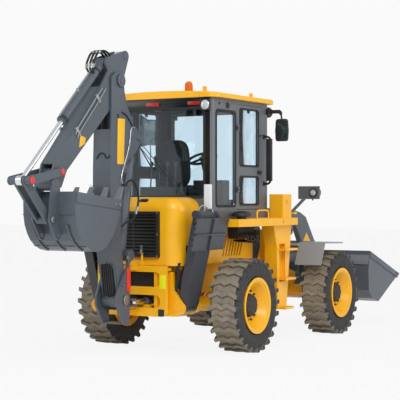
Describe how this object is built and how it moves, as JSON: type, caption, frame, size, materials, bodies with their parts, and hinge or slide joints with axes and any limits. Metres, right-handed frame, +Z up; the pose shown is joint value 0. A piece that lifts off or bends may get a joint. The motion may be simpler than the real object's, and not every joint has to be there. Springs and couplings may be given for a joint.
{
  "type": "backhoe loader",
  "caption": "Articulated wheel backhoe loader with a front loading bucket, a rear digging arm, folding stabilizers and a glazed cab.",
  "frame": {"origin": "on the ground under the middle of the machine's bounding box", "axes": "+Y forward to the loader bucket, +X to the machine's right, +Z up"},
  "size_m": [2.352, 8.209, 3.71],
  "materials": {
    "yellow_paint": "semi-gloss",
    "grey_paint": "semi-gloss",
    "dark_paint": "semi-gloss",
    "cab_paint": "semi-gloss",
    "fender": "matt",
    "lamp_housing": "matt",
    "rod_chrome": "polished",
    "tyre_rubber": "matt",
    "window_glass": "clear",
    "seat_fabric": "matt",
    "console_plastic": "matt",
    "engine_iron": "matt"
  },
  "bodies": {
    "rear_chassis": {"rear_frame": "yellow_paint", "rear_axle": "yellow_paint", "engine_block": "engine_iron", "rear_hood": "yellow_paint", "rear_grille": "lamp_housing", "step_towers": "yellow_paint", "cab_shell": "cab_paint", "cab_roof": "yellow_paint", "cab_glass": "window_glass", "operator_seat": "seat_fabric", "operator_console": "console_plastic", "cab_lamps": "lamp_housing", "cab_rails": "lamp_housing", "swing_barrels": "grey_paint", "steering_barrels": "yellow_paint"},
    "front_chassis": {"front_frame": "yellow_paint", "front_axle": "yellow_paint", "front_fenders": "fender", "headlamps": "lamp_housing"},
    "loader_arms": {"loader_arms": "grey_paint"},
    "loader_bucket": {"loader_bucket": "grey_paint"},
    "bell_crank": {"bell_crank": "grey_paint"},
    "tilt_links": {"tilt_links": "grey_paint"},
    "lift_barrels": {"lift_barrels": "yellow_paint"},
    "lift_rods": {"lift_rods": "rod_chrome"},
    "tilt_barrels": {"tilt_barrels": "yellow_paint"},
    "tilt_rods": {"tilt_rods": "rod_chrome"},
    "swing_post": {"swing_post": "grey_paint"},
    "boom": {"boom": "grey_paint"},
    "dipper": {"dipper": "grey_paint"},
    "hoe_bucket": {"hoe_bucket": "grey_paint"},
    "guide_links": {"guide_links": "grey_paint"},
    "bucket_links": {"bucket_links": "grey_paint"},
    "boom_barrel": {"boom_barrel": "grey_paint"},
    "boom_rod": {"boom_rod": "rod_chrome"},
    "dipper_barrel": {"dipper_barrel": "grey_paint"},
    "dipper_rod": {"dipper_rod": "rod_chrome"},
    "curl_barrel": {"curl_barrel": "grey_paint"},
    "curl_rod": {"curl_rod": "rod_chrome"},
    "swing_rod_right": {"swing_rod_right": "rod_chrome"},
    "swing_rod_left": {"swing_rod_left": "rod_chrome"},
    "steering_rod_right": {"steering_rod_right": "rod_chrome"},
    "steering_rod_left": {"steering_rod_left": "rod_chrome"},
    "right_door": {"right_door": "cab_paint"},
    "left_door": {"left_door": "cab_paint"},
    "rear_right_wheel": {"rear_right_tyre": "tyre_rubber", "rear_right_rim": "yellow_paint"},
    "front_right_wheel": {"front_right_tyre": "tyre_rubber", "front_right_rim": "yellow_paint"},
    "right_leg": {"right_leg": "dark_paint"},
    "right_leg_barrel": {"right_leg_barrel": "dark_paint"},
    "right_leg_rod": {"right_leg_rod": "rod_chrome"},
    "rear_left_wheel": {"rear_left_tyre": "tyre_rubber", "rear_left_rim": "yellow_paint"},
    "front_left_wheel": {"front_left_tyre": "tyre_rubber", "front_left_rim": "yellow_paint"},
    "left_leg": {"left_leg": "dark_paint"},
    "left_leg_barrel": {"left_leg_barrel": "dark_paint"},
    "left_leg_rod": {"left_leg_rod": "rod_chrome"}
  },
  "joints": [
    {"name": "rear_right_wheel", "type": "hinge", "parent": "rear_chassis", "child": "rear_right_wheel", "pos_m": [0.975, -0.795, 0.5885], "axis": [1, 0, 0], "continuous": true},
    {"name": "front_right_wheel", "type": "hinge", "parent": "front_chassis", "child": "front_right_wheel", "pos_m": [0.975, 1.803, 0.5885], "axis": [1, 0, 0], "continuous": true},
    {"name": "rear_left_wheel", "type": "hinge", "parent": "rear_chassis", "child": "rear_left_wheel", "pos_m": [-0.975, -0.795, 0.5885], "axis": [1, 0, 0], "continuous": true},
    {"name": "front_left_wheel", "type": "hinge", "parent": "front_chassis", "child": "front_left_wheel", "pos_m": [-0.975, 1.803, 0.5885], "axis": [1, 0, 0], "continuous": true},
    {"name": "steer", "type": "hinge", "parent": "rear_chassis", "child": "front_chassis", "pos_m": [0, 0.505, 0.68], "axis": [0, 0, 1], "range_deg": [-35, 35]},
    {"name": "steering_rod_right", "type": "slide", "parent": "rear_chassis", "child": "steering_rod_right", "axis": [0, 1, 0], "range_m": [-0.127, 0.127]},
    {"name": "steering_rod_left", "type": "slide", "parent": "rear_chassis", "child": "steering_rod_left", "axis": [0, 1, 0], "range_m": [-0.127, 0.127]},
    {"name": "right_door", "type": "hinge", "parent": "rear_chassis", "child": "right_door", "pos_m": [0.812, -0.673, 1.9], "axis": [0, 0, -1], "range_deg": [0, 85]},
    {"name": "left_door", "type": "hinge", "parent": "rear_chassis", "child": "left_door", "pos_m": [-0.812, -0.673, 1.9], "axis": [0, 0, 1], "range_deg": [0, 85]},
    {"name": "loader_lift", "type": "hinge", "parent": "front_chassis", "child": "loader_arms", "pos_m": [0, 1.055, 1.7], "axis": [1, 0, 0], "range_deg": [-8, 88]},
    {"name": "lift_barrels", "type": "hinge", "parent": "front_chassis", "child": "lift_barrels", "pos_m": [0, 0.925, 0.6], "axis": [1, 0, 0], "range_deg": [-2.3, 24.5]},
    {"name": "lift_rods", "type": "slide", "parent": "lift_barrels", "child": "lift_rods", "axis": [0, 0.6121, 0.7908], "range_m": [-0.0535, 0.5835]},
    {"name": "loader_tilt", "type": "hinge", "parent": "loader_arms", "child": "loader_bucket", "pos_m": [0, 2.775, 0.52], "axis": [-1, 0, 0], "range_deg": [0, 70]},
    {"name": "bell_crank", "type": "hinge", "parent": "loader_arms", "child": "bell_crank", "pos_m": [0, 2.355, 1.2], "axis": [1, 0, 0], "range_deg": [0, 44.5]},
    {"name": "tilt_links", "type": "hinge", "parent": "bell_crank", "child": "tilt_links", "pos_m": [0, 2.217, 0.795], "axis": [-1, 0, 0], "range_deg": [0, 66]},
    {"name": "tilt_barrels", "type": "hinge", "parent": "loader_arms", "child": "tilt_barrels", "pos_m": [0, 1.055, 1.7], "axis": [-1, 0, 0], "range_deg": [0, 11]},
    {"name": "tilt_rods", "type": "slide", "parent": "tilt_barrels", "child": "tilt_rods", "axis": [0, -0.9976, 0.0689], "range_m": [0, 0.2415]},
    {"name": "swing", "type": "hinge", "parent": "rear_chassis", "child": "swing_post", "pos_m": [0, -2.095, 0.82], "axis": [0, 0, 1], "range_deg": [-75, 75]},
    {"name": "swing_rod_right", "type": "slide", "parent": "rear_chassis", "child": "swing_rod_right", "axis": [0, 1, 0], "range_m": [-0.188, 0.188]},
    {"name": "swing_rod_left", "type": "slide", "parent": "rear_chassis", "child": "swing_rod_left", "axis": [0, 1, 0], "range_m": [-0.188, 0.188]},
    {"name": "boom_lower", "type": "hinge", "parent": "swing_post", "child": "boom", "pos_m": [0, -2.275, 0.72], "axis": [1, 0, 0], "range_deg": [0, 138]},
    {"name": "boom_barrel", "type": "hinge", "parent": "swing_post", "child": "boom_barrel", "pos_m": [0, -2.155, 1.25], "axis": [1, 0, 0], "range_deg": [0, 145.5]},
    {"name": "boom_rod", "type": "slide", "parent": "boom_barrel", "child": "boom_rod", "axis": [0, 0.1599, 0.9871], "range_m": [0, 0.9875]},
    {"name": "dipper_out", "type": "hinge", "parent": "boom", "child": "dipper", "pos_m": [0, -2.325, 3.337], "axis": [-1, 0, 0], "range_deg": [0, 105]},
    {"name": "dipper_barrel", "type": "hinge", "parent": "boom", "child": "dipper_barrel", "pos_m": [0, -2.245, 2.3], "axis": [-1, 0, 0], "range_deg": [0, 9.1]},
    {"name": "dipper_rod", "type": "slide", "parent": "dipper_barrel", "child": "dipper_rod", "axis": [0, -0.0594, -0.9982], "range_m": [0, 0.5265]},
    {"name": "bucket_open", "type": "hinge", "parent": "dipper", "child": "hoe_bucket", "pos_m": [0, -3.595, 2.092], "axis": [-1, 0, 0], "range_deg": [0, 130]},
    {"name": "guide_links", "type": "hinge", "parent": "dipper", "child": "guide_links", "pos_m": [0, -3.507, 2.23], "axis": [-1, 0, 0], "range_deg": [0, 108]},
    {"name": "bucket_links", "type": "hinge", "parent": "hoe_bucket", "child": "bucket_links", "pos_m": [0, -3.665, 1.7], "axis": [1, 0, 0], "range_deg": [0, 39.5]},
    {"name": "curl_barrel", "type": "hinge", "parent": "dipper", "child": "curl_barrel", "pos_m": [0, -2.538, 3.532], "axis": [-1, 0, 0], "range_deg": [0, 6.6]},
    {"name": "curl_rod", "type": "slide", "parent": "curl_barrel", "child": "curl_rod", "axis": [0, 0.7343, 0.6788], "range_m": [0, 0.9035]},
    {"name": "right_leg", "type": "hinge", "parent": "rear_chassis", "child": "right_leg", "pos_m": [0.6, -1.575, 0.6], "axis": [0, 1, 0], "range_deg": [0, 100]},
    {"name": "right_leg_barrel", "type": "hinge", "parent": "rear_chassis", "child": "right_leg_barrel", "pos_m": [0.47, -1.575, 0.8], "axis": [0, 1, 0], "range_deg": [0, 95.5]},
    {"name": "right_leg_rod", "type": "slide", "parent": "right_leg_barrel", "child": "right_leg_rod", "axis": [0.3986, 0, 0.9171], "range_m": [0, 0.3555]},
    {"name": "left_leg", "type": "hinge", "parent": "rear_chassis", "child": "left_leg", "pos_m": [-0.6, -1.575, 0.6], "axis": [0, -1, 0], "range_deg": [0, 100]},
    {"name": "left_leg_barrel", "type": "hinge", "parent": "rear_chassis", "child": "left_leg_barrel", "pos_m": [-0.47, -1.575, 0.8], "axis": [0, -1, 0], "range_deg": [0, 95.5]},
    {"name": "left_leg_rod", "type": "slide", "parent": "left_leg_barrel", "child": "left_leg_rod", "axis": [-0.3986, 0, 0.9171], "range_m": [0, 0.3555]}
  ],
  "couplings": [
    {"joint": "steering_rod_right", "follows": "steer", "m_per_rad": 0.20627},
    {"joint": "steering_rod_left", "follows": "steer", "m_per_rad": -0.20627},
    {"joint": "lift_barrels", "follows": "loader_lift", "ratio": 0.2773},
    {"joint": "lift_rods", "follows": "loader_lift", "m_per_rad": 0.37959},
    {"joint": "bell_crank", "follows": "loader_tilt", "ratio": 0.634},
    {"joint": "tilt_links", "follows": "loader_tilt", "ratio": 0.94},
    {"joint": "tilt_barrels", "follows": "loader_tilt", "ratio": 0.154},
    {"joint": "tilt_rods", "follows": "loader_tilt", "m_per_rad": 0.19727},
    {"joint": "swing_rod_right", "follows": "swing", "m_per_rad": 0.14324},
    {"joint": "swing_rod_left", "follows": "swing", "m_per_rad": -0.14324},
    {"joint": "boom_barrel", "follows": "boom_lower", "ratio": 1.052},
    {"joint": "boom_rod", "follows": "boom_lower", "m_per_rad": 0.40978},
    {"joint": "dipper_barrel", "follows": "dipper_out", "ratio": 0.0857},
    {"joint": "dipper_rod", "follows": "dipper_out", "m_per_rad": 0.28705},
    {"joint": "guide_links", "follows": "bucket_open", "ratio": 0.825},
    {"joint": "bucket_links", "follows": "bucket_open", "ratio": 0.3},
    {"joint": "curl_barrel", "follows": "bucket_open", "ratio": 0.05},
    {"joint": "curl_rod", "follows": "bucket_open", "m_per_rad": 0.39798},
    {"joint": "right_leg_barrel", "follows": "right_leg", "ratio": 0.952},
    {"joint": "right_leg_rod", "follows": "right_leg", "m_per_rad": 0.2034},
    {"joint": "left_leg_barrel", "follows": "left_leg", "ratio": 0.952},
    {"joint": "left_leg_rod", "follows": "left_leg", "m_per_rad": 0.2034}
  ]
}
